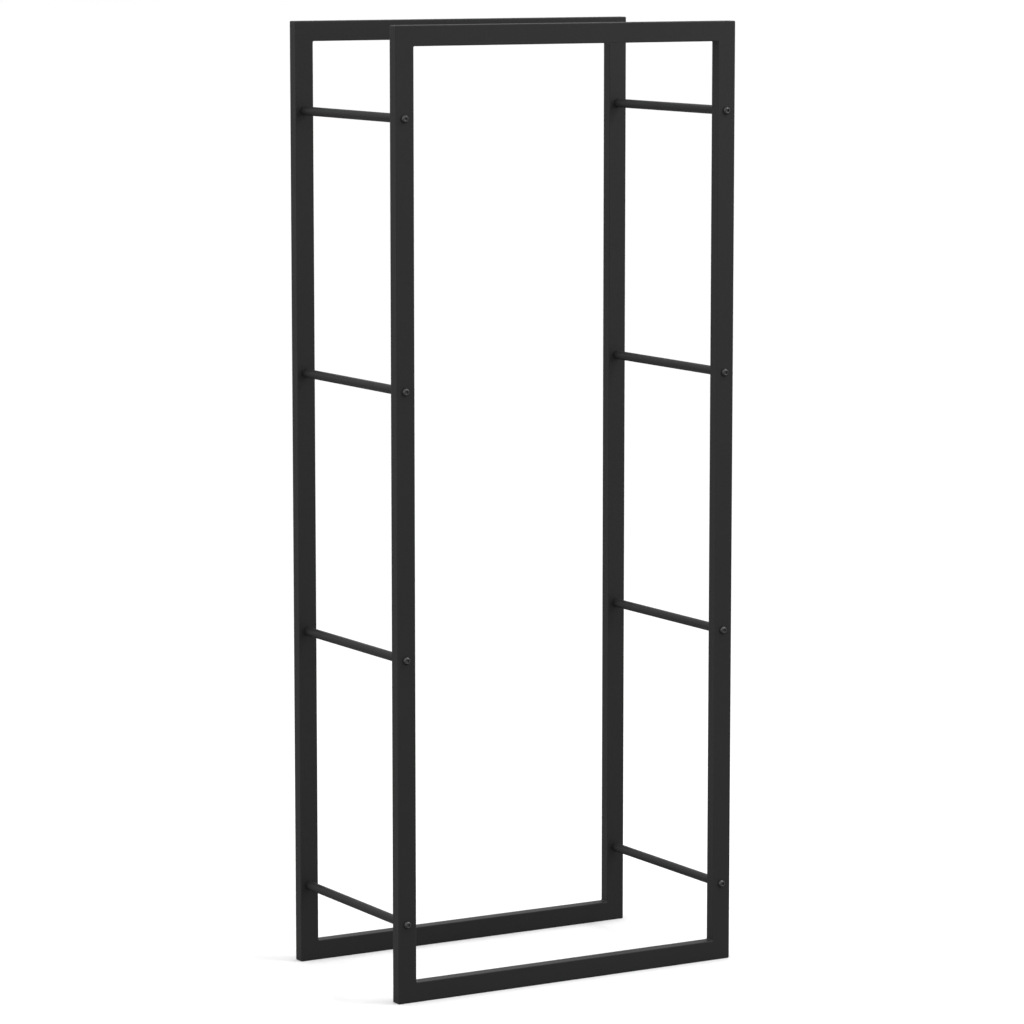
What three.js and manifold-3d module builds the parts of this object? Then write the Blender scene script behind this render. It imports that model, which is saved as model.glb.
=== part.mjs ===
// Firewood log rack: two welded rectangular tube frames, one in front of the other, held apart by
// round cross bars that are bolted through the uprights. Logs lie across the two bottom rails and
// are kept in by the bars on the left and the right.
// Millimetres. X runs along the width, -Y is the front, +Z is up, and z = 0 is the floor.
import * as THREE from "three";
import { mergeVertices } from "three/addons/utils/BufferGeometryUtils.js";
import Module from "manifold-3d";

const wasm = await Module();
wasm.setup();

// Overall sizes. The depth is over the frames, and the bolt heads stand proud of it.
const RACK_WIDTH = 500;
const RACK_DEPTH = 282;
const RACK_HEIGHT = 1235;

// Rectangular steel tube of both frames.
const TUBE_FACE = 26;
const TUBE_DEPTH = 15.5;
const TUBE_WALL = 1.2;
const TUBE_CORNER_RADIUS = 1;
const TUBE_INSIDE_RADIUS_LEAST = 0.2;

// Round cross bars, one column of them on the left and one on the right.
const BARS_PER_SIDE = 4;
const LOWEST_BAR_HEIGHT = 102;
const TOP_BAR_DROP = 115;
const BAR_DIAMETER = 11.6;
const BAR_WALL = 1.2;

// Threaded plug fixed inside each end of a bar.
const PLUG_LENGTH = 16;

// Button-head socket bolt.
const BOLT_DIAMETER = 6;
const BOLT_ENGAGEMENT = 12;
const BOLT_TIP_CHAMFER = 0.6;
const HEAD_DIAMETER = 10.5;
const HEAD_HEIGHT = 3.3;
const HEAD_RIM = 0.5;
const HEAD_TOP_DIAMETER = 6.2;
const SOCKET_ACROSS_FLATS = 4;
const SOCKET_DEPTH = 2;

// Clearances. Plain cylinders stand for the threads, so the bolt keeps a gap inside its plug.
const WELD_GAP = 0.3;
const SEAT_GAP = 0.3;
const HOLE_CLEARANCE = 0.4;
const THREAD_CLEARANCE = 0.2;
const PLUG_CLEARANCE = 0.2;

// Fineness of round shapes.
const CORNER_STEPS = 2;
const HOLE_SIDES = 12;
const BAR_SIDES = 16;
const BOLT_SIDES = 12;
const DOME_STEPS = 3;

// Distance that a cutter reaches past the material it cuts.
const CUT_MARGIN = 1;

const powderCoat = new THREE.MeshStandardMaterial({ color: 0x2e2e2f, roughness: 0.55, metalness: 0.1 });
const blackenedSteel = new THREE.MeshStandardMaterial({ color: 0x262627, roughness: 0.38, metalness: 0.8 });
const zincSteel = new THREE.MeshStandardMaterial({ color: 0x9a9c9e, roughness: 0.4, metalness: 0.9 });

// A closed geometry as a solid that can be joined and cut.
function solid(geometry) {
  const bare = geometry.index ? geometry.toNonIndexed() : geometry.clone();
  bare.deleteAttribute("normal");
  bare.deleteAttribute("uv");
  const merged = mergeVertices(bare);
  return new wasm.Manifold(
    new wasm.Mesh({
      numProp: 3,
      vertProperties: merged.attributes.position.array,
      triVerts: new Uint32Array(merged.index.array),
    }),
  );
}

// A solid back as a geometry, with flat shading normals.
function geometryOf(body) {
  const mesh = body.getMesh();
  const indexed = new THREE.BufferGeometry();
  indexed.setAttribute("position", new THREE.BufferAttribute(new Float32Array(mesh.vertProperties), 3));
  indexed.setIndex(new THREE.BufferAttribute(new Uint32Array(mesh.triVerts), 1));
  const flat = indexed.toNonIndexed();
  flat.computeVertexNormals();
  return flat;
}

function namedMesh(name, geometry, material) {
  const mesh = new THREE.Mesh(geometry, material.clone());
  mesh.name = name;
  return mesh;
}

// Outline of a rectangle around the origin, with round corners of the given radius.
function traceRectangle(path, width, depth, radius) {
  const x = width / 2 - radius;
  const y = depth / 2 - radius;
  path.absarc(x, y, radius, 0, Math.PI / 2, false);
  path.absarc(-x, y, radius, Math.PI / 2, Math.PI, false);
  path.absarc(-x, -y, radius, Math.PI, 1.5 * Math.PI, false);
  path.absarc(x, -y, radius, 1.5 * Math.PI, 2 * Math.PI, false);
  path.closePath();
  return path;
}

// Open-ended rectangular tube along Z, centred on the origin.
function rectangularTube(length) {
  const outline = traceRectangle(new THREE.Shape(), TUBE_FACE, TUBE_DEPTH, TUBE_CORNER_RADIUS);
  const insideRadius = Math.max(TUBE_CORNER_RADIUS - TUBE_WALL, TUBE_INSIDE_RADIUS_LEAST);
  const insideFace = TUBE_FACE - 2 * TUBE_WALL;
  const insideDepth = TUBE_DEPTH - 2 * TUBE_WALL;
  outline.holes.push(traceRectangle(new THREE.Path(), insideFace, insideDepth, insideRadius));
  const tube = new THREE.ExtrudeGeometry(outline, {
    depth: length,
    bevelEnabled: false,
    curveSegments: CORNER_STEPS,
  });
  return solid(tube.translate(0, 0, -length / 2));
}

// Block that takes off one end of a frame tube along its 45 degree mitre. The long side of the tube
// is its -X face, and end is +1 for the +Z end and -1 for the -Z end. The mitre starts at the middle
// of the block's side, so half the block is a little longer than the mitre.
function mitreCutter(length, end) {
  const mitreLength = Math.SQRT2 * TUBE_FACE;
  const size = 2 * (mitreLength + CUT_MARGIN);
  const block = new THREE.BoxGeometry(size, TUBE_DEPTH + 2 * CUT_MARGIN, size);
  const offset = size / 2 - WELD_GAP / 2;
  block.translate(0, 0, end * offset);
  block.rotateY(end * (Math.PI / 4));
  block.translate(-TUBE_FACE / 2, 0, end * (length / 2));
  return solid(block);
}

// Frame tube along Z with both ends mitred, its long side on -X.
function mitredTube(length) {
  return rectangularTube(length)
    .subtract(mitreCutter(length, 1))
    .subtract(mitreCutter(length, -1));
}

// Clearance hole for a bolt, through both walls of an upright at a height above its middle.
function boltHole(height) {
  const radius = BOLT_DIAMETER / 2 + HOLE_CLEARANCE;
  const drill = new THREE.CylinderGeometry(radius, radius, TUBE_DEPTH + 2 * CUT_MARGIN, HOLE_SIDES);
  return solid(drill.translate(0, 0, height));
}

// Heights of the cross bars above the floor, evenly spaced from the lowest to the top one.
function barHeights() {
  const pitch = (RACK_HEIGHT - TOP_BAR_DROP - LOWEST_BAR_HEIGHT) / (BARS_PER_SIDE - 1);
  return Array.from({ length: BARS_PER_SIDE }, (_, row) => LOWEST_BAR_HEIGHT + row * pitch);
}

function uprightGeometry() {
  const drilled = barHeights()
    .map((height) => boltHole(height - RACK_HEIGHT / 2))
    .reduce((tube, hole) => tube.subtract(hole), mitredTube(RACK_HEIGHT));
  return geometryOf(drilled);
}

// One welded frame in the plane y = 0: two uprights, a top rail and a bottom rail.
function weldedFrame(side) {
  const frame = new THREE.Group();
  const uprightX = (RACK_WIDTH - TUBE_FACE) / 2;
  const left = namedMesh(side + "_left_upright", uprightGeometry(), powderCoat);
  left.position.set(-uprightX, 0, RACK_HEIGHT / 2);
  const right = namedMesh(side + "_right_upright", uprightGeometry(), powderCoat);
  right.position.set(uprightX, 0, RACK_HEIGHT / 2);
  right.rotation.z = Math.PI;
  const rail = geometryOf(mitredTube(RACK_WIDTH));
  const top = namedMesh(side + "_top_rail", rail, powderCoat);
  top.position.z = RACK_HEIGHT - TUBE_FACE / 2;
  top.rotation.y = Math.PI / 2;
  const bottom = namedMesh(side + "_bottom_rail", rail, powderCoat);
  bottom.position.z = TUBE_FACE / 2;
  bottom.rotation.y = -Math.PI / 2;
  frame.add(left, right, top, bottom);
  return frame;
}

// Round tube along Y, centred on the origin, as a ring profile turned about its axis.
function roundTube(outerRadius, innerRadius, length) {
  const half = length / 2;
  const profile = [
    new THREE.Vector2(innerRadius, -half),
    new THREE.Vector2(outerRadius, -half),
    new THREE.Vector2(outerRadius, half),
    new THREE.Vector2(innerRadius, half),
    new THREE.Vector2(innerRadius, -half),
  ];
  return new THREE.LatheGeometry(profile, BAR_SIDES);
}

// Clear distance between the two frames, less a seat gap at each end.
const barLength = RACK_DEPTH - 2 * TUBE_DEPTH - 2 * SEAT_GAP;

function crossBar(name) {
  const radius = BAR_DIAMETER / 2;
  return namedMesh(name, roundTube(radius, radius - BAR_WALL, barLength), powderCoat);
}

// Threaded plug, flush with the end of the bar: end is -1 at the front and +1 at the back.
function threadedPlug(name, end) {
  const outer = BAR_DIAMETER / 2 - BAR_WALL - PLUG_CLEARANCE;
  const bore = BOLT_DIAMETER / 2 + THREAD_CLEARANCE;
  const plug = namedMesh(name, roundTube(outer, bore, PLUG_LENGTH), zincSteel);
  plug.position.y = end * (barLength - PLUG_LENGTH) / 2;
  return plug;
}

// Hexagonal key recess in the top of the bolt head. It reaches past the top so that it cuts it open.
function socketCutter() {
  const cornerRadius = SOCKET_ACROSS_FLATS / 2 / Math.cos(Math.PI / 6);
  const recess = new THREE.CylinderGeometry(cornerRadius, cornerRadius, SOCKET_DEPTH + CUT_MARGIN, 6);
  return solid(recess.translate(0, HEAD_HEIGHT - SOCKET_DEPTH / 2 + CUT_MARGIN / 2, 0));
}

// Button-head bolt along Y, with the underside of its head at y = 0 and its shank towards -Y.
function boltGeometry() {
  const shank = BOLT_DIAMETER / 2;
  const tip = -(SEAT_GAP + TUBE_DEPTH + SEAT_GAP + BOLT_ENGAGEMENT);
  const rim = HEAD_DIAMETER / 2;
  const top = HEAD_TOP_DIAMETER / 2;
  const profile = [
    new THREE.Vector2(0, tip),
    new THREE.Vector2(shank - BOLT_TIP_CHAMFER, tip),
    new THREE.Vector2(shank, tip + BOLT_TIP_CHAMFER),
    new THREE.Vector2(shank, 0),
    new THREE.Vector2(rim, 0),
  ];
  for (let step = 0; step <= DOME_STEPS; step++) {
    const angle = (step / DOME_STEPS) * (Math.PI / 2);
    profile.push(
      new THREE.Vector2(
        top + (rim - top) * Math.cos(angle),
        HEAD_RIM + (HEAD_HEIGHT - HEAD_RIM) * Math.sin(angle),
      ),
    );
  }
  profile.push(new THREE.Vector2(0, HEAD_HEIGHT));
  return geometryOf(solid(new THREE.LatheGeometry(profile, BOLT_SIDES)).subtract(socketCutter()));
}

// Bolt seated on the outer face of a frame: end is -1 at the front and +1 at the back.
function bolt(name, geometry, end) {
  const fastener = namedMesh(name, geometry, blackenedSteel);
  fastener.position.y = end * (RACK_DEPTH / 2 + SEAT_GAP);
  if (end < 0) fastener.rotation.z = Math.PI;
  return fastener;
}

// One cross bar with its plugs and bolts, on the axis x = 0, z = 0.
function barAssembly(label, fastener) {
  const assembly = new THREE.Group();
  assembly.add(
    crossBar("cross_bar_" + label),
    threadedPlug("threaded_plug_" + label + "_front", -1),
    threadedPlug("threaded_plug_" + label + "_back", 1),
    bolt("bolt_" + label + "_front", fastener, -1),
    bolt("bolt_" + label + "_back", fastener, 1),
  );
  return assembly;
}

// Column of cross bars on one side of the rack, numbered from the lowest.
function barColumn(side, x, fastener) {
  const column = new THREE.Group();
  column.position.x = x;
  barHeights().forEach((height, row) => {
    const assembly = barAssembly(side + "_" + (row + 1), fastener);
    assembly.position.z = height;
    column.add(assembly);
  });
  return column;
}

function logRack() {
  const rack = new THREE.Group();
  const frameY = (RACK_DEPTH - TUBE_DEPTH) / 2;
  const front = weldedFrame("front");
  front.position.y = -frameY;
  const back = weldedFrame("back");
  back.position.y = frameY;
  const barX = (RACK_WIDTH - TUBE_FACE) / 2;
  const fastener = boltGeometry();
  rack.add(front, back, barColumn("left", -barX, fastener), barColumn("right", barX, fastener));
  return rack;
}

export default logRack();
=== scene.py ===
"""Firewood log rack: its finished surfaces, and the plain studio it stands in.

Two welded tube frames are held apart by round cross bars, which are bolted through the uprights.
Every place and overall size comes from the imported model. Metres. X runs along the width, -Y is the
front, +Z is up, and z = 0 is the floor.
"""
import math

import bmesh
import bpy
from bpy.props import FloatProperty, FloatVectorProperty, IntProperty, PointerProperty
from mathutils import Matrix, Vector


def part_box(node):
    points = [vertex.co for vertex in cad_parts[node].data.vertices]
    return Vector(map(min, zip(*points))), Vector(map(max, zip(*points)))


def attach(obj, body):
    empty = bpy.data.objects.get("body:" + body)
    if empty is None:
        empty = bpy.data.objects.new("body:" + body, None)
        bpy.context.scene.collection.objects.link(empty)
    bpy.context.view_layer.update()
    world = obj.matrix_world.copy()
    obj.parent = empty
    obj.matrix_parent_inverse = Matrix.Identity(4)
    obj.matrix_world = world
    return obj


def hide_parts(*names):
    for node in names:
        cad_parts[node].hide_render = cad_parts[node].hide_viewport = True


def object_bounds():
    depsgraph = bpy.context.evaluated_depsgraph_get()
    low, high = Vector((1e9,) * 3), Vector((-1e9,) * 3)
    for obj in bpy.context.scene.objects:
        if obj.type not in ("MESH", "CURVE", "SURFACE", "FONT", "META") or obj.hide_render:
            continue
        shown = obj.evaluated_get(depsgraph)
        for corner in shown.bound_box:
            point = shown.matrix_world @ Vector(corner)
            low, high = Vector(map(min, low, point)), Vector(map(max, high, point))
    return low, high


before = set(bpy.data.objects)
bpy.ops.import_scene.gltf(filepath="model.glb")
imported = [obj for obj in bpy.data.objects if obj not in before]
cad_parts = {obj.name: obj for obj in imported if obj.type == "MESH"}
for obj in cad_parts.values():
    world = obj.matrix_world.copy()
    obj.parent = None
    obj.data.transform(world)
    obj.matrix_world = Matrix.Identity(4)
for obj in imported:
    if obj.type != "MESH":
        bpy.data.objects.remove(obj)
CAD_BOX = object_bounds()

bl_info = {
    "name": "Firewood Log Rack",
    "version": (1, 0, 0),
    "blender": (4, 5, 0),
    "location": "View3D > Sidebar > Log Rack",
    "description": "Builds a bolted steel rack for firewood, with its finishes and a plain studio",
    "category": "Add Mesh",
}

MM = 0.001
ENDS = ("front", "back")
SIDES = ("left", "right")
FRAME_TUBES = ("left_upright", "right_upright", "top_rail", "bottom_rail")
BODY = "root"

# Step to the right from one node to the next, where a node tree is drawn.
NODE_SPACING = 190

# What settings of one kind have in common.
LENGTH = {"subtype": "DISTANCE", "unit": "LENGTH"}
ANGLE = {"subtype": "ANGLE", "unit": "ROTATION"}
POWER = {"min": 0, "subtype": "POWER", "unit": "POWER"}
SHARE = {"min": 0, "max": 1, "subtype": "FACTOR"}
COLOUR = {"min": 0, "max": 1, "size": 3, "subtype": "COLOR"}


# ---------------- places and sizes from the frame


def size_of(node):
    """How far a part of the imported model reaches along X, Y and Z."""
    low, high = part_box(node)
    return high - low


def middle_of(node):
    """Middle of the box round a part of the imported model."""
    low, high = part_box(node)
    return (low + high) / 2


def names_starting(prefix):
    """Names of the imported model's parts that start like this, in order."""
    return sorted(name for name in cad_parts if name.startswith(prefix))


def bolts_at(end):
    """Names of the bolts at the front or the back, in order."""
    return [name for name in names_starting("bolt_") if name.endswith(end)]


def frame_box(end):
    """Lowest and highest corner of the whole front or back frame."""
    left, right, top, bottom = (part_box(f"{end}_{tube}") for tube in FRAME_TUBES)
    low = Vector((left[0].x, left[0].y, bottom[0].z))
    high = Vector((right[1].x, right[1].y, top[1].z))
    return low, high


def outward(end):
    """Direction that the front or back of the rack faces."""
    return Vector((0, -1 if end == "front" else 1, 0))


TUBE_SIZE = size_of("front_left_upright")
BAR_SIZE = size_of("cross_bar_left_1")
BOLT_SIZE = size_of("bolt_left_1_front")


# ---------------- settings


class FrameSettings(bpy.types.PropertyGroup):
    """Shape of the two welded frames."""

    face: FloatProperty(
        name="Tube Face",
        description="Width of the tube as seen from the front",
        default=TUBE_SIZE.x,
        min=5 * MM,
        **LENGTH,
    )
    wall: FloatProperty(
        name="Tube Wall",
        description="Thickness of the steel",
        default=1.2 * MM,
        min=0.5 * MM,
        **LENGTH,
    )
    edge_radius: FloatProperty(
        name="Edge Radius",
        description="Rounding along the tube's long edges",
        default=1.1 * MM,
        min=0.1 * MM,
        **LENGTH,
    )
    inside_radius: FloatProperty(
        name="Inside Radius",
        description="Rounding of the tube's inside corners",
        default=0.3 * MM,
        min=0.05 * MM,
        **LENGTH,
    )
    corner_radius: FloatProperty(
        name="Corner Radius",
        description="Rounding of the frame's four outside corners, where the welds are ground",
        default=1.7 * MM,
        min=0.2 * MM,
        **LENGTH,
    )
    weld_fillet: FloatProperty(
        name="Weld Fillet",
        description="Rounding left by the weld in the frame's four inside corners",
        default=1.6 * MM,
        min=0.1 * MM,
        **LENGTH,
    )
    weld_width: FloatProperty(
        name="Weld Width",
        description="How far the dressed weld reaches to each side of the mitre",
        default=5 * MM,
        min=0.5 * MM,
        **LENGTH,
    )
    hole_diameter: FloatProperty(
        name="Bolt Hole",
        description="Diameter of the clearance holes through the uprights",
        default=6.8 * MM,
        min=1 * MM,
        **LENGTH,
    )
    round_steps: IntProperty(
        name="Rounding Steps",
        description="Faces across each rounded edge and corner",
        default=5,
        min=2,
        max=12,
    )


class BarSettings(bpy.types.PropertyGroup):
    """Shape of the round cross bars."""

    diameter: FloatProperty(
        name="Diameter",
        description="Outside diameter of a cross bar",
        default=BAR_SIZE.x,
        min=1 * MM,
        **LENGTH,
    )
    length: FloatProperty(
        name="Length",
        description="Length of a cross bar between the frames",
        default=BAR_SIZE.y,
        min=10 * MM,
        **LENGTH,
    )
    wall: FloatProperty(
        name="Wall",
        description="Thickness of the bar's wall",
        default=1.2 * MM,
        min=0.3 * MM,
        **LENGTH,
    )
    end_rounding: FloatProperty(
        name="End Rounding",
        description="Rounding of the cut ends",
        default=0.3 * MM,
        min=0.05 * MM,
        **LENGTH,
    )
    sides: IntProperty(
        name="Sides",
        description="Faces round a cross bar",
        default=64,
        min=16,
        max=128,
    )


class BoltSettings(bpy.types.PropertyGroup):
    """Shape of the button-head socket bolts."""

    head_diameter: FloatProperty(
        name="Head Diameter",
        description="Diameter of the button head",
        default=BOLT_SIZE.x,
        min=1 * MM,
        **LENGTH,
    )
    head_height: FloatProperty(
        name="Head Height",
        description="Height of the button head above its seat",
        default=3.3 * MM,
        min=0.5 * MM,
        **LENGTH,
    )
    rim_height: FloatProperty(
        name="Rim Height",
        description="Height of the straight band under the dome",
        default=0.5 * MM,
        min=0.1 * MM,
        **LENGTH,
    )
    top_diameter: FloatProperty(
        name="Top Diameter",
        description="Diameter of the flat on top of the dome",
        default=6.2 * MM,
        min=0.5 * MM,
        **LENGTH,
    )
    socket_across_flats: FloatProperty(
        name="Socket",
        description="Width across the flats of the hexagon socket",
        default=4 * MM,
        min=0.5 * MM,
        **LENGTH,
    )
    socket_depth: FloatProperty(
        name="Socket Depth",
        description="Depth of the hexagon socket",
        default=2 * MM,
        min=0.2 * MM,
        **LENGTH,
    )
    shank_diameter: FloatProperty(
        name="Shank Diameter",
        description="Outside diameter of the thread",
        default=6 * MM,
        min=1 * MM,
        **LENGTH,
    )
    tip_chamfer: FloatProperty(
        name="Tip Chamfer",
        description="Chamfer at the end of the thread",
        default=0.6 * MM,
        min=0.05 * MM,
        **LENGTH,
    )
    edge_rounding: FloatProperty(
        name="Edge Rounding",
        description="Small rounding of the head's edges",
        default=0.18 * MM,
        min=0.02 * MM,
        **LENGTH,
    )
    sides: IntProperty(
        name="Sides",
        description="Faces round a bolt, a multiple of twelve for the socket's corners",
        default=48,
        min=12,
        max=96,
        step=12,
    )
    seed: IntProperty(
        name="Spin Seed",
        description="Seed of the angle at which each bolt stopped turning",
        default=7,
        min=0,
    )


class FinishSettings(bpy.types.PropertyGroup):
    """Colours and surfaces."""

    powder_colour: FloatVectorProperty(
        name="Powder Coat",
        description="Colour of the frames and cross bars",
        default=(0.0155, 0.0155, 0.0158),
        **COLOUR,
    )
    powder_roughness: FloatProperty(
        name="Powder Roughness",
        description="Roughness of the powder coat",
        default=0.5,
        **SHARE,
    )
    grain_size: FloatProperty(
        name="Grain Size",
        description="Size of the powder coat's fine texture",
        default=0.6 * MM,
        min=0.05 * MM,
        **LENGTH,
    )
    grain_height: FloatProperty(
        name="Grain Height",
        description="Height of the powder coat's fine texture",
        default=0.084 * MM,
        min=0,
        **LENGTH,
    )
    wave_size: FloatProperty(
        name="Wave Size",
        description="Size of the powder coat's soft waviness",
        default=3.5 * MM,
        min=0.5 * MM,
        **LENGTH,
    )
    wave_height: FloatProperty(
        name="Wave Height",
        description="Height of the powder coat's soft waviness",
        default=0.06 * MM,
        min=0,
        **LENGTH,
    )
    bolt_colour: FloatVectorProperty(
        name="Bolts",
        description="Colour of the blackened steel bolts",
        default=(0.07, 0.07, 0.072),
        **COLOUR,
    )
    bolt_roughness: FloatProperty(
        name="Bolt Roughness",
        description="Roughness of the blackened steel",
        default=0.33,
        **SHARE,
    )
    plug_colour: FloatVectorProperty(
        name="Threaded Plugs",
        description="Colour of the zinc-plated plugs inside the cross bars",
        default=(0.53, 0.54, 0.56),
        **COLOUR,
    )


class StageSettings(bpy.types.PropertyGroup):
    """Floor, light and camera."""

    floor_colour: FloatVectorProperty(
        name="Floor",
        description="Colour of the plain floor",
        default=(0.86, 0.86, 0.86),
        **COLOUR,
    )
    floor_bounce: FloatProperty(
        name="Floor Bounce",
        description="Share of the floor's light that reaches the rack",
        default=0.4,
        **SHARE,
    )
    horizon_light: FloatProperty(
        name="Horizon Light",
        description="Brightness of the room at eye level",
        default=0.66,
        min=0,
    )
    zenith_light: FloatProperty(
        name="Zenith Light",
        description="Brightness of the room overhead",
        default=1.05,
        min=0,
    )
    skylight: FloatProperty(
        name="Skylight",
        description="Strength of the even light from overhead",
        default=0.82,
        min=0,
    )
    skylight_spread: FloatProperty(
        name="Skylight Spread",
        description="Angle that the skylight covers",
        default=math.radians(80),
        min=0,
        **ANGLE,
    )
    left_power: FloatProperty(
        name="Left Softbox",
        description="Power of the softbox on the left",
        default=19,
        **POWER,
    )
    right_power: FloatProperty(
        name="Right Softbox",
        description="Power of the softbox on the right",
        default=17.3,
        **POWER,
    )
    key_power: FloatProperty(
        name="Key Softbox",
        description="Power of the small softbox high on the right, which lights the bolt heads",
        default=20,
        **POWER,
    )
    lens: FloatProperty(
        name="Lens",
        description="Focal length of the camera",
        default=152.93,
        min=10,
        subtype="DISTANCE_CAMERA",
        unit="CAMERA",
    )
    distance: FloatProperty(
        name="Distance",
        description="Distance of the camera from what it looks at",
        default=5.682,
        min=0.5,
        **LENGTH,
    )
    azimuth: FloatProperty(
        name="Azimuth",
        description="How far the camera is turned round the rack from straight ahead",
        default=math.radians(-30.354),
        **ANGLE,
    )
    elevation: FloatProperty(
        name="Elevation",
        description="How far above the horizon the camera stands",
        default=math.radians(7.764),
        **ANGLE,
    )
    aim: FloatVectorProperty(
        name="Aim",
        description="Point that the camera looks at",
        default=(-0.001, 0, 0.5972),
        size=3,
        subtype="TRANSLATION",
        unit="LENGTH",
    )


class LogRackSettings(bpy.types.PropertyGroup):
    """Everything that can be set on the rack."""

    frames: PointerProperty(type=FrameSettings)
    bars: PointerProperty(type=BarSettings)
    bolts: PointerProperty(type=BoltSettings)
    finish: PointerProperty(type=FinishSettings)
    stage: PointerProperty(type=StageSettings)


# ---------------- node trees


def add(tree, kind, inputs=None, **settings):
    """A node with its settings, and its inputs set to values or wired to other nodes' outputs."""
    node = tree.nodes.new(kind)
    node.location.x = NODE_SPACING * len(tree.nodes)
    for name, value in settings.items():
        setattr(node, name, value)
    for key, value in (inputs or {}).items():
        if isinstance(value, bpy.types.NodeSocket):
            tree.links.new(value, node.inputs[key])
        else:
            node.inputs[key].default_value = value
    return node


def result(tree, kind, inputs=None, **settings):
    """A node's first output."""
    return add(tree, kind, inputs, **settings).outputs[0]


def math_node(tree, operation, first, second=0.0, third=0.0):
    """Result of a sum on values or sockets."""
    return result(tree, "ShaderNodeMath", {0: first, 1: second, 2: third}, operation=operation)


def mix_values(tree, factor, first, second):
    """A value that goes from the first to the second as the factor goes from 0 to 1."""
    return result(tree, "ShaderNodeMix", {0: factor, 2: first, 3: second}, data_type="FLOAT")


def mix_colours(tree, factor, first, second):
    """A colour that goes from the first to the second as the factor goes from 0 to 1."""
    node = add(tree, "ShaderNodeMix", {0: factor, 6: first, 7: second}, data_type="RGBA")
    return node.outputs[2]


def new_group(name, kind, inputs, outputs):
    """An empty node group, the sockets it is given, and its output node.

    The inputs and outputs are {name: (type, default)}.
    """
    tree = bpy.data.node_groups.new(name, kind)
    for direction, sockets in (("INPUT", inputs), ("OUTPUT", outputs)):
        for socket_name, (socket_type, default) in sockets.items():
            socket = tree.interface.new_socket(socket_name, in_out=direction, socket_type=socket_type)
            if default is not None:
                socket.default_value = default
    return tree, tree.nodes.new("NodeGroupInput").outputs, tree.nodes.new("NodeGroupOutput")


def end_group(tree, output, results):
    """Wires {output name: socket} to the group's output node, which goes last in the drawing."""
    output.location.x = NODE_SPACING * (len(tree.nodes) + 1)
    for name, socket in results.items():
        tree.links.new(socket, output.inputs[name])
    return tree


def use_group(tree, group, inputs=None):
    """Outputs of a shader node group that is placed in a material with its own values."""
    node = add(tree, "ShaderNodeGroup", node_tree=group)
    for name, value in (inputs or {}).items():
        node.inputs[name].default_value = value
    return node.outputs


def made_once(library):
    """Marks a function that makes a data-block of this kind, which is then made only once.

    The data-block is named after the function.
    """

    def mark(maker):
        def find(*details):
            name = maker.__name__.replace("_", " ").capitalize()
            return getattr(bpy.data, library).get(name) or maker(name, *details)

        return find

    return mark


# ---------------- surface effects


def shader_group(name, inputs, *outputs):
    """An empty group that takes values, {name: default}, and gives the named values."""
    taken = {key: ("NodeSocketFloat", default) for key, default in inputs.items()}
    made = {key: ("NodeSocketFloat", None) for key in outputs}
    return new_group(name, "ShaderNodeTree", taken, made)


def noise_at(tree, size, **character):
    """Soft noise from 0 to 1 on the piece's own coordinates, with lumps of about this size."""
    place = add(tree, "ShaderNodeTexCoord").outputs["Object"]
    scale = math_node(tree, "DIVIDE", 1.0, size)
    return result(tree, "ShaderNodeTexNoise", {"Vector": place, "Scale": scale, **character})


@made_once("node_groups")
def fine_relief(name):
    """Height in metres of a fine grain over a longer, softer waviness."""
    sockets = {
        "Grain Size": 0.6 * MM,
        "Grain Height": 0.01 * MM,
        "Wave Size": 4 * MM,
        "Wave Height": 0.01 * MM,
    }
    tree, given, output = shader_group(name, sockets, "Height")
    grain = noise_at(tree, given["Grain Size"], Detail=2.0)
    wave = noise_at(tree, given["Wave Size"], Detail=0.0)
    grain_height = math_node(tree, "MULTIPLY", grain, given["Grain Height"])
    total = math_node(tree, "MULTIPLY_ADD", wave, given["Wave Height"], grain_height)
    return end_group(tree, output, {"Height": total})


@made_once("node_groups")
def soft_patches(name):
    """Cloudy patches from 0 to 1, about half of the surface each."""
    sockets = {"Patch Size": 80 * MM, "Contrast": 1.6}
    tree, given, output = shader_group(name, sockets, "Patches")
    noise = noise_at(tree, given["Patch Size"], Detail=4.0, Roughness=0.55)
    centred = math_node(tree, "SUBTRACT", noise, 0.5)
    stretched = math_node(tree, "MULTIPLY_ADD", centred, given["Contrast"], 0.5)
    clamped = result(tree, "ShaderNodeClamp", {"Value": stretched})
    return end_group(tree, output, {"Patches": clamped})


@made_once("node_groups")
def edge_band(name):
    """Mask of the rounded edges, from the mesh's own edge attribute, broken up by a fine noise."""
    sockets = {"Break Up": 0.5, "Break Size": 3 * MM}
    tree, given, output = shader_group(name, sockets, "Mask")
    edge = add(tree, "ShaderNodeAttribute", attribute_name="edge").outputs["Fac"]
    noise = noise_at(tree, given["Break Size"], Detail=3.0)
    kept = mix_values(tree, given["Break Up"], 1.0, noise)
    mask = math_node(tree, "MULTIPLY", edge, kept)
    return end_group(tree, output, {"Mask": mask})


@made_once("node_groups")
def turned_rings(name):
    """Fine rings left by a lathe round a bolt's own axis, from the mesh's own_place attribute."""
    sockets = {"Ring Size": 0.25 * MM, "Ring Height": 0.006 * MM}
    tree, given, output = shader_group(name, sockets, "Height", "Rings")
    own = add(tree, "ShaderNodeAttribute", attribute_name="own_place").outputs["Vector"]
    flat = result(tree, "ShaderNodeVectorMath", {0: own, 1: (1, 1, 0)}, operation="MULTIPLY")
    radius = add(tree, "ShaderNodeVectorMath", {0: flat}, operation="LENGTH").outputs["Value"]
    turns = math_node(tree, "DIVIDE", radius, given["Ring Size"])
    noise = {"W": turns, "Scale": 1.0, "Detail": 1.0}
    rings = result(tree, "ShaderNodeTexNoise", noise, noise_dimensions="1D")
    height = math_node(tree, "MULTIPLY", rings, given["Ring Height"])
    return end_group(tree, output, {"Height": height, "Rings": rings})


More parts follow.
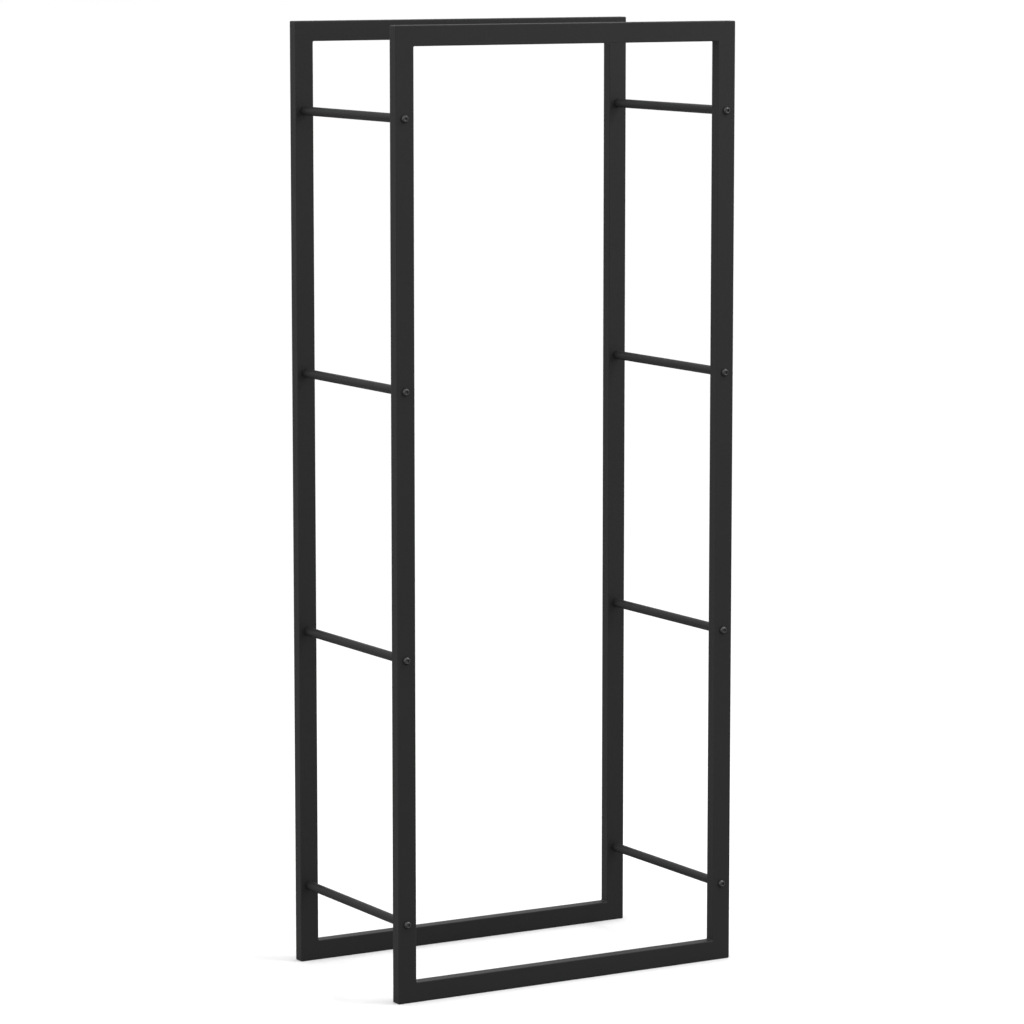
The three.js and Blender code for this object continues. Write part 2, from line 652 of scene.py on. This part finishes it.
def new_material(name):
    """A material with a Principled shader, and that shader's node."""
    material = bpy.data.materials.new(name)
    material.use_nodes = True
    tree = material.node_tree
    tree.nodes.clear()
    shader = add(tree, "ShaderNodeBsdfPrincipled")
    add(tree, "ShaderNodeOutputMaterial", {"Surface": shader.outputs["BSDF"]})
    return material, tree, shader


def wire_surface(tree, shader, colour, roughness, height):
    """Gives the shader its colour, its roughness and a relief from a height in metres."""
    relief = add(tree, "ShaderNodeBump", {"Strength": 1.0, "Distance": 1.0, "Height": height})
    tree.links.new(colour, shader.inputs["Base Color"])
    tree.links.new(roughness, shader.inputs["Roughness"])
    tree.links.new(relief.outputs["Normal"], shader.inputs["Normal"])


def shade(colour, change):
    """A colour made lighter, or darker where the change is negative, by a share of itself."""
    return (*(channel * (1 + change) for channel in colour), 1.0)


def clouded(tree, colour, change, mask):
    """A colour that wanders by a share of itself either way, as the mask goes from 0 to 1."""
    return mix_colours(tree, mask, shade(colour, -change), shade(colour, change))


def uneven(tree, value, change, mask):
    """A value that wanders by this much either way, as the mask goes from 0 to 1."""
    return mix_values(tree, mask, value - change, value + change)


@made_once("materials")
def powder_coat(name, finish):
    """Matt black powder coat on mild steel, a little smoother along the edges, where a painted
    highlight lightens its colour.
    """
    patch_size = 90 * MM
    colour_change = 0.07
    roughness_change = 0.03
    painted_edge_highlight = 0.3
    edge_smoothing = -0.06
    weld_smoothing = -0.03
    edge_break = {"Break Up": 0.6}
    gloss = 0.25

    material, tree, shader = new_material(name)
    relief = {
        "Grain Size": finish.grain_size,
        "Grain Height": finish.grain_height,
        "Wave Size": finish.wave_size,
        "Wave Height": finish.wave_height,
    }
    height = use_group(tree, fine_relief(), relief)["Height"]
    patches = use_group(tree, soft_patches(), {"Patch Size": patch_size})["Patches"]
    edges = use_group(tree, edge_band(), edge_break)["Mask"]
    weld = add(tree, "ShaderNodeAttribute", attribute_name="weld").outputs["Fac"]

    colour = clouded(tree, finish.powder_colour, colour_change, patches)
    # Painted highlight: the coat's colour is made lighter along the rounded edges.
    colour = mix_colours(tree, edges, colour, shade(finish.powder_colour, painted_edge_highlight))
    roughness = uneven(tree, finish.powder_roughness, roughness_change, patches)
    roughness = math_node(tree, "MULTIPLY_ADD", edges, edge_smoothing, roughness)
    roughness = math_node(tree, "MULTIPLY_ADD", weld, weld_smoothing, roughness)
    wire_surface(tree, shader, colour, roughness, height)
    shader.inputs["Specular IOR Level"].default_value = gloss
    return material


@made_once("materials")
def black_oxide(name, finish):
    """Blackened steel of the bolts, with lathe rings on the head and rubbed edges."""
    patch_size = 1.5 * MM
    colour_change = 0.2
    roughness_change = 0.06
    rubbed_lightening = 0.7
    edge_break = {"Break Up": 0.7, "Break Size": 0.6 * MM}

    material, tree, shader = new_material(name)
    lathe = use_group(tree, turned_rings())
    patches = use_group(tree, soft_patches(), {"Patch Size": patch_size})["Patches"]
    edges = use_group(tree, edge_band(), edge_break)["Mask"]

    colour = clouded(tree, finish.bolt_colour, colour_change, patches)
    colour = mix_colours(tree, edges, colour, shade(finish.bolt_colour, rubbed_lightening))
    roughness = uneven(tree, finish.bolt_roughness, roughness_change, lathe["Rings"])
    wire_surface(tree, shader, colour, roughness, lathe["Height"])
    shader.inputs["Metallic"].default_value = 1.0
    return material


@made_once("materials")
def zinc_plate(name, finish):
    """Bright zinc plating of the threaded plugs, slightly cloudy."""
    patch_size = 3 * MM
    colour_change = 0.1
    roughness_middle = 0.35
    roughness_change = 0.07
    relief = {
        "Grain Size": 0.2 * MM,
        "Grain Height": 0.004 * MM,
        "Wave Size": 1.2 * MM,
        "Wave Height": 0.004 * MM,
    }

    material, tree, shader = new_material(name)
    height = use_group(tree, fine_relief(), relief)["Height"]
    patches = use_group(tree, soft_patches(), {"Patch Size": patch_size})["Patches"]
    colour = clouded(tree, finish.plug_colour, colour_change, patches)
    roughness = uneven(tree, roughness_middle, roughness_change, patches)
    wire_surface(tree, shader, colour, roughness, height)
    shader.inputs["Metallic"].default_value = 1.0
    return material


# ---------------- meshes


# How far a rounding's holding points stand from it along a tube's flats, as a share of its radius.
EDGE_HOLD = 0.5


def rounded_rectangle(width, height, radius, steps, hold):
    """Points of a rectangle with round corners, anticlockwise around the origin, each with a share.

    The share is 1 on the round corners. It is 0 at the two points that each straight side has a
    short way from its ends, which hold the rounding to its place.
    """
    points = []
    for quarter, (sign_x, sign_y) in enumerate(((1, 1), (-1, 1), (-1, -1), (1, -1))):
        centre_x = sign_x * (width / 2 - radius)
        centre_y = sign_y * (height / 2 - radius)
        arc = []
        for step in range(steps + 1):
            angle = (quarter + step / steps) * math.pi / 2
            arc.append((centre_x + radius * math.cos(angle), centre_y + radius * math.sin(angle)))
        turn = quarter * math.pi / 2
        before = (arc[0][0] + hold * math.sin(turn), arc[0][1] - hold * math.cos(turn))
        after = (arc[-1][0] - hold * math.cos(turn), arc[-1][1] - hold * math.sin(turn))
        points += [(*before, 0.0), *((*point, 1.0) for point in arc), (*after, 0.0)]
    return points


def turn_radius(inset, face, sizes):
    """Corner radius of the loop that runs this far in from the frame's outside."""
    edge = sizes.edge_radius
    if inset <= edge:
        return sizes.corner_radius - inset
    if inset >= face - edge:
        return sizes.weld_fillet + face - inset
    outside = sizes.corner_radius - edge
    inside = sizes.weld_fillet + edge
    return outside + (inside - outside) * (inset - edge) / (face - 2 * edge)


def add_ring_skin(bm, low, high, depth_in, edge_radius, sizes):
    """One closed skin of a frame, depth_in under the tube's outside, with its edge and weld shares."""
    face = sizes.face
    depth = high.y - low.y
    centre = (low + high) / 2
    edge_share = bm.verts.layers.float["edge"]
    weld_share = bm.verts.layers.float["weld"]
    section = rounded_rectangle(
        face - 2 * depth_in,
        depth - 2 * depth_in,
        edge_radius,
        sizes.round_steps,
        EDGE_HOLD * edge_radius,
    )
    loops = []
    for across, along, edge in section:
        inset = face / 2 - across
        path = rounded_rectangle(
            high.x - low.x - 2 * inset,
            high.z - low.z - 2 * inset,
            turn_radius(inset, face, sizes),
            sizes.round_steps,
            sizes.weld_width,
        )
        loop = []
        for x, z, weld in path:
            vertex = bm.verts.new((centre.x + x, centre.y + along, centre.z + z))
            vertex[edge_share] = edge
            vertex[weld_share] = weld
            loop.append(vertex)
        loops.append(loop)
    for first, second in zip(loops, loops[1:] + loops[:1]):
        for index in range(len(first)):
            ahead = (index + 1) % len(first)
            bm.faces.new((first[index], first[ahead], second[ahead], second[index]))


def frame_mesh(end, sizes):
    """A frame as one welded, hollow tube ring, without its bolt holes."""
    low, high = frame_box(end)
    bm = bmesh.new()
    bm.verts.layers.float.new("edge")
    bm.verts.layers.float.new("weld")
    add_ring_skin(bm, low, high, 0, sizes.edge_radius, sizes)
    bmesh.ops.recalc_face_normals(bm, faces=bm.faces[:])
    outer = set(bm.faces)
    add_ring_skin(bm, low, high, sizes.wall, sizes.inside_radius, sizes)
    inner = [face for face in bm.faces if face not in outer]
    bmesh.ops.recalc_face_normals(bm, faces=inner)
    bmesh.ops.reverse_faces(bm, faces=inner)
    mesh = bpy.data.meshes.new(f"{end}_frame")
    bm.to_mesh(mesh)
    bm.free()
    return mesh


# Half the angle that each side of a bolt's hexagon socket takes up, seen from its middle.
HALF_SIDE = math.pi / 6

# Slope of the drilled floor and of the lead-in of a bolt's socket.
DRILL_SLOPE = math.tan(math.radians(30))

# Radius of the lead-in's mouth, as a share of the hexagon's corners, and of the drilled floor, as a
# share of the hexagon's flats.
MOUTH_SHARE = 1.08
DRILLED_SHARE = 0.9

# How much a key or a hand rubs each edge of a bolt's head: a share from 0 to 1.
SOCKET_WEAR = 1.0
RIM_WEAR = 0.8
MOUTH_WEAR = 0.6
DOME_WEAR = 0.5
TOP_WEAR = 0.4
NO_WEAR = 0.0

# Rings of faces between the top and the rim of a bolt's dome.
DOME_STEPS = 10


def dome_outline(sizes):
    """Points of (radius, height) down the dome, a part of a sphere from the top's edge to the rim."""
    flat = sizes.top_diameter / 2
    rim = sizes.head_diameter / 2
    rise = sizes.head_height - sizes.rim_height
    drop = (rim**2 - flat**2 - rise**2) / (2 * rise)
    sphere = math.hypot(flat, rise + drop)
    soften = sizes.edge_rounding / sphere
    first = math.asin(flat / sphere) + soften
    last = math.asin(rim / sphere) - soften
    outline = []
    for step in range(DOME_STEPS + 1):
        angle = first + (last - first) * step / DOME_STEPS
        height = sizes.rim_height - drop + sphere * math.cos(angle)
        outline.append((sphere * math.sin(angle), height))
    return outline


def bolt_rings(sizes, shank_length):
    """A bolt's rings, from the socket's floor, up and over the head, to the shank's tip.

    Each ring is its points of (radius, height), one for each side, and its share of wear. Height 0
    is the underside of the head.
    """
    small = sizes.edge_rounding
    top = sizes.head_height
    rim = sizes.head_diameter / 2
    flat = sizes.top_diameter / 2
    shank = sizes.shank_diameter / 2
    half_flat = sizes.socket_across_flats / 2
    mouth = MOUTH_SHARE * half_flat / math.cos(HALF_SIDE)
    floor = top - sizes.socket_depth

    def level(radius, height, wear):
        return [(radius, height)] * sizes.sides, wear

    hexagon = []
    for index in range(sizes.sides):
        from_corner = (math.tau * index / sizes.sides + HALF_SIDE) % (2 * HALF_SIDE)
        hexagon.append(half_flat / math.cos(from_corner - HALF_SIDE))
    lead_in = [(radius, top - (mouth - radius) * DRILL_SLOPE) for radius in hexagon]

    rings = [
        level(DRILLED_SHARE * half_flat, floor, NO_WEAR),
        ([(radius, floor) for radius in hexagon], NO_WEAR),
        (lead_in, SOCKET_WEAR),
        level(mouth, top, MOUTH_WEAR),
        level(flat - small, top, TOP_WEAR),
    ]
    for step, (radius, height) in enumerate(dome_outline(sizes)):
        rings.append(level(radius, height, DOME_WEAR if step in (0, DOME_STEPS) else NO_WEAR))
    rings += [
        level(rim, sizes.rim_height - small, RIM_WEAR),
        level(rim, small, RIM_WEAR),
        level(rim - small, 0, RIM_WEAR),
        level(shank + small, 0, NO_WEAR),
        level(shank, -small, NO_WEAR),
        level(shank, sizes.tip_chamfer - shank_length, NO_WEAR),
        level(shank - sizes.tip_chamfer, -shank_length, NO_WEAR),
    ]
    return rings


def bolt_mesh(sizes, shank_length):
    """One bolt along +Z, with the underside of its head at the origin."""
    bm = bmesh.new()
    edge_share = bm.verts.layers.float.new("edge")
    own_place = bm.verts.layers.float_vector.new("own_place")
    rings = []
    for outline, wear in bolt_rings(sizes, shank_length):
        ring = []
        for index, (radius, height) in enumerate(outline):
            angle = math.tau * index / sizes.sides
            vertex = bm.verts.new((radius * math.cos(angle), radius * math.sin(angle), height))
            vertex[edge_share] = wear
            ring.append(vertex)
        rings.append(ring)
    for first, second in zip(rings, rings[1:]):
        for index in range(sizes.sides):
            ahead = (index + 1) % sizes.sides
            bm.faces.new((first[index], first[ahead], second[ahead], second[index]))
    floor = sizes.head_height - sizes.socket_depth
    cone = sizes.socket_across_flats / 2 * DRILL_SLOPE
    for ring, height in ((rings[0], floor - cone), (rings[-1], -shank_length)):
        pole = bm.verts.new((0, 0, height))
        for index in range(sizes.sides):
            bm.faces.new((ring[index], ring[(index + 1) % sizes.sides], pole))
    bmesh.ops.recalc_face_normals(bm, faces=bm.faces[:])
    for vertex in bm.verts:
        vertex[own_place] = vertex.co
    mesh = bpy.data.meshes.new("bolt_pattern")
    bm.to_mesh(mesh)
    bm.free()
    return mesh


def point_mesh(name, points):
    """A mesh of loose points, for a tree to put copies on."""
    mesh = bpy.data.meshes.new(name)
    mesh.from_pydata(points, [], [])
    return mesh


# ---------------- geometry node trees


# Faces across the rounding of a bar's cut end, and round a bolt hole.
BAR_END_STEPS = 3
HOLE_SIDES = 32


def geometry_group(name, inputs):
    """A geometry node group with a Geometry input and output besides its named inputs."""
    geometry = {"Geometry": ("NodeSocketGeometry", None)}
    return new_group(name, "GeometryNodeTree", {**geometry, **inputs}, geometry)


def end_geometry(tree, given, output, shape):
    """Realized instances with the group's material, smooth, as the group's result."""
    solid = result(tree, "GeometryNodeRealizeInstances", {"Geometry": shape})
    smooth = result(tree, "GeometryNodeSetShadeSmooth", {"Geometry": solid})
    paint = {"Geometry": smooth, "Material": given["Material"]}
    painted = result(tree, "GeometryNodeSetMaterial", paint)
    return end_group(tree, output, {"Geometry": painted})


def laid_copies(tree, points, shape):
    """Copies of a shape on points, laid down so that what stood along Z lies along Y."""
    laid = result(tree, "GeometryNodeTransform", {"Geometry": shape, "Rotation": (math.pi / 2, 0, 0)})
    return result(tree, "GeometryNodeInstanceOnPoints", {"Points": points, "Instance": laid})


@made_once("node_groups")
def tubes_on_points(name):
    """Round tubes along Y, one centred on each point of the mesh."""
    sockets = {
        "Diameter": ("NodeSocketFloat", 12 * MM),
        "Wall": ("NodeSocketFloat", 1.2 * MM),
        "Length": ("NodeSocketFloat", 0.25),
        "End Rounding": ("NodeSocketFloat", 0.3 * MM),
        "Sides": ("NodeSocketInt", 64),
        "Material": ("NodeSocketMaterial", None),
    }
    tree, given, output = geometry_group(name, sockets)
    between_skins = math_node(tree, "SUBTRACT", given["Diameter"], given["Wall"])
    radius = math_node(tree, "MULTIPLY", between_skins, 0.5)
    circle = {"Resolution": given["Sides"], "Radius": radius}
    around = result(tree, "GeometryNodeCurvePrimitiveCircle", circle)
    section = {"Width": given["Wall"], "Height": given["Length"]}
    wall = result(tree, "GeometryNodeCurvePrimitiveQuadrilateral", section)
    rounding = {"Curve": wall, "Radius": given["End Rounding"], "Count": BAR_END_STEPS}
    rounded = result(tree, "GeometryNodeFilletCurve", rounding, mode="POLY")
    tube = result(tree, "GeometryNodeCurveToMesh", {"Curve": around, "Profile Curve": rounded})
    return end_geometry(tree, given, output, laid_copies(tree, given["Geometry"], tube))


@made_once("node_groups")
def bolts_on_points(name):
    """Copies of a bolt on the mesh's points, heads facing one way, each turned by its own amount."""
    sockets = {
        "Bolt": ("NodeSocketObject", None),
        "Facing": ("NodeSocketVector", (0, -1, 0)),
        "Spin Seed": ("NodeSocketInt", 0),
        "Material": ("NodeSocketMaterial", None),
    }
    tree, given, output = geometry_group(name, sockets)
    bolt = add(tree, "GeometryNodeObjectInfo", {"Object": given["Bolt"]}).outputs["Geometry"]
    facing = {"Vector": given["Facing"]}
    faced = result(tree, "FunctionNodeAlignRotationToVector", facing, axis="Z")
    turns = {2: 0.0, 3: math.tau, "Seed": given["Spin Seed"]}
    angle = add(tree, "FunctionNodeRandomValue", turns, data_type="FLOAT").outputs[1]
    spin = result(tree, "FunctionNodeAxisAngleToRotation", {"Axis": (0, 0, 1), "Angle": angle})
    rotations = {"Rotation": faced, "Rotate By": spin}
    turned = result(tree, "FunctionNodeRotateRotation", rotations, rotation_space="LOCAL")
    placing = {"Points": given["Geometry"], "Instance": bolt, "Rotation": turned}
    copies = result(tree, "GeometryNodeInstanceOnPoints", placing)
    return end_geometry(tree, given, output, copies)


@made_once("node_groups")
def holes_at_points(name):
    """Round holes along Y through the mesh, one at each point of another object."""
    sockets = {
        "Hole Points": ("NodeSocketObject", None),
        "Diameter": ("NodeSocketFloat", 6.8 * MM),
        "Reach": ("NodeSocketFloat", 20 * MM),
        "Material": ("NodeSocketMaterial", None),
    }
    tree, given, output = geometry_group(name, sockets)
    points = add(tree, "GeometryNodeObjectInfo", {"Object": given["Hole Points"]}).outputs["Geometry"]
    radius = math_node(tree, "MULTIPLY", given["Diameter"], 0.5)
    cylinder = {"Vertices": HOLE_SIDES, "Radius": radius, "Depth": given["Reach"]}
    drill = result(tree, "GeometryNodeMeshCylinder", cylinder)
    drills = {"Geometry": laid_copies(tree, points, drill)}
    cutters = result(tree, "GeometryNodeRealizeInstances", drills)
    cut = {0: given["Geometry"], 1: cutters}
    drilled = result(tree, "GeometryNodeMeshBoolean", cut, operation="DIFFERENCE", solver="EXACT")
    return end_geometry(tree, given, output, drilled)


def set_input(modifier, name, value):
    """Sets a geometry node modifier's input by the socket's own identifier."""
    for item in modifier.node_group.interface.items_tree:
        if item.item_type == "SOCKET" and item.in_out == "INPUT" and item.name == name:
            modifier[item.identifier] = value
            return
    raise KeyError(f"{modifier.node_group.name} has no input named {name}")


# Faces that meet at a sharper angle than this keep a hard edge between them.
SHARP_ANGLE = math.radians(40)


def apply_modifiers(piece):
    """Gives a piece the plain mesh that its modifiers make, and takes them off it."""
    graph = bpy.context.evaluated_depsgraph_get()
    old = piece.data
    piece.data = bpy.data.meshes.new_from_object(
        piece.evaluated_get(graph), preserve_all_data_layers=True, depsgraph=graph
    )
    piece.modifiers.clear()
    bpy.data.meshes.remove(old)
    piece.data.name = piece.name


def make_piece(name, mesh, maker, inputs, replaced):
    """Makes a plain mesh piece with a geometry node tree, and normals that keep its flats flat."""
    piece = bpy.data.objects.new(name, mesh)
    bpy.context.scene.collection.objects.link(piece)
    nodes = piece.modifiers.new("Shape", "NODES")
    nodes.node_group = maker()
    for socket_name, value in inputs.items():
        set_input(nodes, socket_name, value)
    apply_modifiers(piece)
    piece.data.set_sharp_from_angle(angle=SHARP_ANGLE)
    weighted = piece.modifiers.new("Flat faces", "WEIGHTED_NORMAL")
    weighted.keep_sharp = True
    apply_modifiers(piece)
    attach(piece, BODY)
    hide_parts(*replaced)


def helper_object(name, mesh):
    """An object that a tree reads and that is removed afterwards."""
    helper = bpy.data.objects.new(name, mesh)
    bpy.context.scene.collection.objects.link(helper)
    return helper


def remove_helper(helper):
    """Removes such an object and its mesh."""
    mesh = helper.data
    bpy.data.objects.remove(helper)
    bpy.data.meshes.remove(mesh)


# ---------------- operators


# Length of the drill that makes a bolt hole, as a share of the tube's depth.
DRILL_REACH = 1.5


class LOGRACK_OT_build_frames(bpy.types.Operator):
    """Weld the front and the back frame and drill their uprights"""

    bl_idname = "log_rack.build_frames"
    bl_label = "Build Frames"

    def execute(self, context):
        settings = context.scene.log_rack
        coat = powder_coat(settings.finish)
        for end in ENDS:
            low, high = frame_box(end)
            tube_middle = (low.y + high.y) / 2
            holes = [(middle_of(name).x, tube_middle, middle_of(name).z) for name in bolts_at(end)]
            helper = helper_object("hole_points", point_mesh("hole_points", holes))
            make_piece(
                f"{end}_frame",
                frame_mesh(end, settings.frames),
                holes_at_points,
                {
                    "Hole Points": helper,
                    "Diameter": settings.frames.hole_diameter,
                    "Reach": DRILL_REACH * (high.y - low.y),
                    "Material": coat,
                },
                [f"{end}_{tube}" for tube in FRAME_TUBES],
            )
            remove_helper(helper)
        return {"FINISHED"}


class LOGRACK_OT_build_bars(bpy.types.Operator):
    """Make the round cross bars of the left and the right side"""

    bl_idname = "log_rack.build_bars"
    bl_label = "Build Cross Bars"

    def execute(self, context):
        settings = context.scene.log_rack
        bars = settings.bars
        for side in SIDES:
            replaced = names_starting(f"cross_bar_{side}_")
            make_piece(
                f"{side}_cross_bars",
                point_mesh("bar_points", [middle_of(name) for name in replaced]),
                tubes_on_points,
                {
                    "Diameter": bars.diameter,
                    "Wall": bars.wall,
                    "Length": bars.length,
                    "End Rounding": bars.end_rounding,
                    "Sides": bars.sides,
                    "Material": powder_coat(settings.finish),
                },
                replaced,
            )
        return {"FINISHED"}


class LOGRACK_OT_build_bolts(bpy.types.Operator):
    """Make the button-head bolts at the front and the back"""

    bl_idname = "log_rack.build_bolts"
    bl_label = "Build Bolts"

    def execute(self, context):
        settings = context.scene.log_rack
        bolts = settings.bolts
        shank_length = BOLT_SIZE.y - bolts.head_height
        helper = helper_object("bolt_pattern", bolt_mesh(bolts, shank_length))
        for index, end in enumerate(ENDS):
            replaced = bolts_at(end)
            facing = outward(end)
            seats = []
            for name in replaced:
                low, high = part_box(name)
                seat = middle_of(name)
                tip = low.y if end == "front" else high.y
                seat.y = tip - facing.y * bolts.head_height
                seats.append(seat)
            make_piece(
                f"{end}_bolts",
                point_mesh("bolt_points", seats),
                bolts_on_points,
                {
                    "Bolt": helper,
                    "Facing": facing,
                    "Spin Seed": bolts.seed + index,
                    "Material": black_oxide(settings.finish),
                },
                replaced,
            )
        remove_helper(helper)
        return {"FINISHED"}


class LOGRACK_OT_finish_plugs(bpy.types.Operator):
    """Plate the threaded plugs inside the ends of the cross bars"""

    bl_idname = "log_rack.finish_plugs"
    bl_label = "Finish Threaded Plugs"

    def execute(self, context):
        plating = zinc_plate(context.scene.log_rack.finish)
        for name in names_starting("threaded_plug_"):
            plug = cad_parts[name]
            plug.material_slots[0].link = "OBJECT"
            plug.material_slots[0].material = plating
        return {"FINISHED"}


# ---------------- stage


# How far the floor reaches from the middle of the rack to each side.
FLOOR_REACH = 60

# The softboxes, which all shine at the middle of the rack: each one's place, width and height.
SOFTBOXES = {
    "left": ((-3.2, -0.8, 1.6), 3.2, 3.2),
    "right": ((2.6, -2.6, 2.0), 1.2, 1.8),
    "key": ((1.3, -1.0, 2.7), 1.0, 0.4),
}


def add_softbox(name, place, aim, width, height, power):
    """A rectangular light that shines at a point and can't be seen itself."""
    light = bpy.data.lights.new(name, "AREA")
    light.shape = "RECTANGLE"
    light.size = width
    light.size_y = height
    light.energy = power
    lamp = bpy.data.objects.new(name, light)
    lamp.location = place
    lamp.rotation_euler = (Vector(place) - Vector(aim)).to_track_quat("Z", "Y").to_euler()
    lamp.visible_camera = False
    bpy.context.scene.collection.objects.link(lamp)


def add_skylight(strength, spread):
    """Even light from overhead, as from a wide white ceiling."""
    light = bpy.data.lights.new("skylight", "SUN")
    light.energy = strength
    light.angle = spread
    lamp = bpy.data.objects.new("skylight", light)
    bpy.context.scene.collection.objects.link(lamp)


def room_world(horizon, zenith):
    """Light from all round, from one brightness at the horizon to another overhead.

    The camera itself sees plain white behind the rack.
    """
    world = bpy.data.worlds.new("Studio")
    world.use_nodes = True
    tree = world.node_tree
    tree.nodes.clear()
    direction = add(tree, "ShaderNodeTexCoord").outputs["Generated"]
    height = add(tree, "ShaderNodeSeparateXYZ", {0: direction}).outputs["Z"]
    upward = result(tree, "ShaderNodeMapRange", {"Value": height, "From Min": 0.0, "From Max": 1.0})
    tone = mix_values(tree, upward, horizon, zenith)
    room = result(tree, "ShaderNodeBackground", {"Color": (1, 1, 1, 1), "Strength": tone})
    white = result(tree, "ShaderNodeBackground", {"Color": (1, 1, 1, 1), "Strength": 1.0})
    camera_ray = add(tree, "ShaderNodeLightPath").outputs["Is Camera Ray"]
    seen = result(tree, "ShaderNodeMixShader", {0: camera_ray, 1: room, 2: white})
    add(tree, "ShaderNodeOutputWorld", {"Surface": seen})
    return world


def add_floor(stage):
    """A wide, plain floor at z = 0, which throws back less light than it shows."""
    near, far = -FLOOR_REACH, FLOOR_REACH
    corners = [(near, near, 0), (far, near, 0), (far, far, 0), (near, far, 0)]
    mesh = bpy.data.meshes.new("floor")
    mesh.from_pydata(corners, [], [(0, 1, 2, 3)])
    material, tree, shader = new_material("Pale floor")
    camera_ray = add(tree, "ShaderNodeLightPath").outputs["Is Camera Ray"]
    bounced = [channel * stage.floor_bounce for channel in stage.floor_colour]
    colour = mix_colours(tree, camera_ray, (*bounced, 1), (*stage.floor_colour, 1))
    tree.links.new(colour, shader.inputs["Base Color"])
    for name, value in (("Roughness", 0.9), ("Specular IOR Level", 0.0)):
        shader.inputs[name].default_value = value
    mesh.materials.append(material)
    floor = bpy.data.objects.new("floor", mesh)
    bpy.context.scene.collection.objects.link(floor)


def add_camera(stage):
    """The camera, level from side to side, at its distance from the point that it looks at."""
    data = bpy.data.cameras.new("Camera")
    data.lens = stage.lens
    flat = math.cos(stage.elevation)
    back = Vector(
        (
            math.sin(stage.azimuth) * flat,
            -math.cos(stage.azimuth) * flat,
            math.sin(stage.elevation),
        )
    )
    camera = bpy.data.objects.new("Camera", data)
    camera.location = Vector(stage.aim) + back * stage.distance
    camera.rotation_euler = back.to_track_quat("Z", "Y").to_euler()
    bpy.context.scene.collection.objects.link(camera)
    bpy.context.scene.camera = camera


class LOGRACK_OT_build_stage(bpy.types.Operator):
    """Set the floor, the soft light and the camera"""

    bl_idname = "log_rack.build_stage"
    bl_label = "Build Stage"

    def execute(self, context):
        stage = context.scene.log_rack.stage
        low, high = CAD_BOX
        middle = (low + high) / 2
        add_floor(stage)
        context.scene.world = room_world(stage.horizon_light, stage.zenith_light)
        context.scene.view_settings.view_transform = "Standard"
        add_skylight(stage.skylight, stage.skylight_spread)
        for name, (place, width, height) in SOFTBOXES.items():
            power = getattr(stage, f"{name}_power")
            add_softbox(f"{name}_softbox", place, middle, width, height, power)
        add_camera(stage)
        return {"FINISHED"}


# ---------------- sidebar


class VIEW3D_PT_log_rack(bpy.types.Panel):
    """Settings of the rack, and the steps that build it"""

    bl_idname = "VIEW3D_PT_log_rack"
    bl_label = "Firewood Log Rack"
    bl_space_type = "VIEW_3D"
    bl_region_type = "UI"
    bl_category = "Log Rack"

    def draw(self, context):
        settings = context.scene.log_rack
        sections = (
            (settings.frames, LOGRACK_OT_build_frames),
            (settings.bars, LOGRACK_OT_build_bars),
            (settings.bolts, LOGRACK_OT_build_bolts),
            (settings.finish, LOGRACK_OT_finish_plugs),
            (settings.stage, LOGRACK_OT_build_stage),
        )
        for group, operator in sections:
            box = self.layout.box()
            for name in group.__annotations__:
                box.prop(group, name)
            box.operator(operator.bl_idname)


CLASSES = (
    FrameSettings,
    BarSettings,
    BoltSettings,
    FinishSettings,
    StageSettings,
    LogRackSettings,
    LOGRACK_OT_build_frames,
    LOGRACK_OT_build_bars,
    LOGRACK_OT_build_bolts,
    LOGRACK_OT_finish_plugs,
    LOGRACK_OT_build_stage,
    VIEW3D_PT_log_rack,
)


def register():
    for item in CLASSES:
        bpy.utils.register_class(item)
    bpy.types.Scene.log_rack = PointerProperty(type=LogRackSettings)


def unregister():
    del bpy.types.Scene.log_rack
    for item in reversed(CLASSES):
        bpy.utils.unregister_class(item)


def main():
    """Makes the whole rack and its studio."""
    register()
    bpy.ops.log_rack.build_frames()
    bpy.ops.log_rack.build_bars()
    bpy.ops.log_rack.build_bolts()
    bpy.ops.log_rack.finish_plugs()
    bpy.ops.log_rack.build_stage()


if __name__ == "__main__":
    main()
